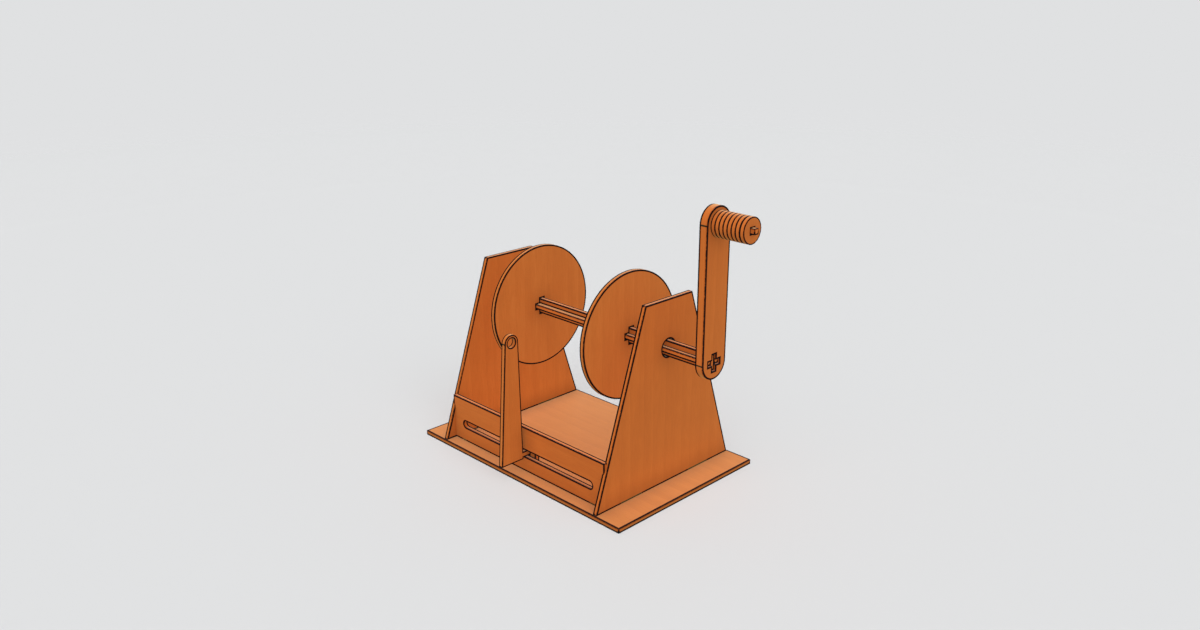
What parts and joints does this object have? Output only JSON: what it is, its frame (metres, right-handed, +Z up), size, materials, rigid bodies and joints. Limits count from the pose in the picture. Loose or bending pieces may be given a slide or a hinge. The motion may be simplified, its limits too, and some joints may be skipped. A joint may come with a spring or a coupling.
{
  "type": "yarn ball winder",
  "caption": "Hand-cranked yarn ball winder of slotted flat board: winding discs on a crossed shaft between tapered uprights, with a sliding yarn guide and a crank with a turning grip.",
  "frame": {"origin": "middle of the base's underside, on the table", "axes": "+X along the shaft towards the crank, +Y from the yarn guide to the back, +Z up"},
  "size_m": [0.3663, 0.2166, 0.2995],
  "materials": {
    "frame_board": "orange board, coloured through, satin, with dark scorched edges",
    "guide_board": "orange board, coloured through, satin, with dark scorched edges",
    "shaft_board": "orange board, coloured through, satin, with dark scorched edges",
    "disc_board": "orange board, coloured through, satin, with dark scorched edges",
    "crank_board": "orange board, coloured through, satin, with dark scorched edges",
    "grip_board": "orange board, coloured through, satin, with dark scorched edges"
  },
  "bodies": {
    "frame": {"base_plate": "frame_board", "left_upright": "frame_board", "right_upright": "frame_board", "front_panel": "frame_board"},
    "guide": {"guide_arm": "guide_board", "arm_keeper": "guide_board"},
    "spindle": {"upright_strip": "shaft_board", "level_strip": "shaft_board", "left_disc": "disc_board", "right_disc": "disc_board", "crank_arm": "crank_board", "grip_peg": "crank_board", "grip_cap": "grip_board"},
    "grip": {"grip_disc_1": "grip_board", "grip_disc_2": "grip_board", "grip_disc_3": "grip_board", "grip_disc_4": "grip_board", "grip_disc_5": "grip_board", "grip_disc_6": "grip_board", "grip_disc_7": "grip_board"}
  },
  "joints": [
    {"name": "crank_turn", "type": "hinge", "parent": "frame", "child": "spindle", "pos_m": [0, 0, 0.15], "axis": [1, 0, 0], "continuous": true},
    {"name": "grip_spin", "type": "hinge", "parent": "spindle", "child": "grip", "pos_m": [0.1755, 0, 0.283], "axis": [1, 0, 0], "continuous": true},
    {"name": "guide_slide", "type": "slide", "parent": "frame", "child": "guide", "axis": [1, 0, 0], "range_m": [-0.0955, 0.0955]}
  ]
}
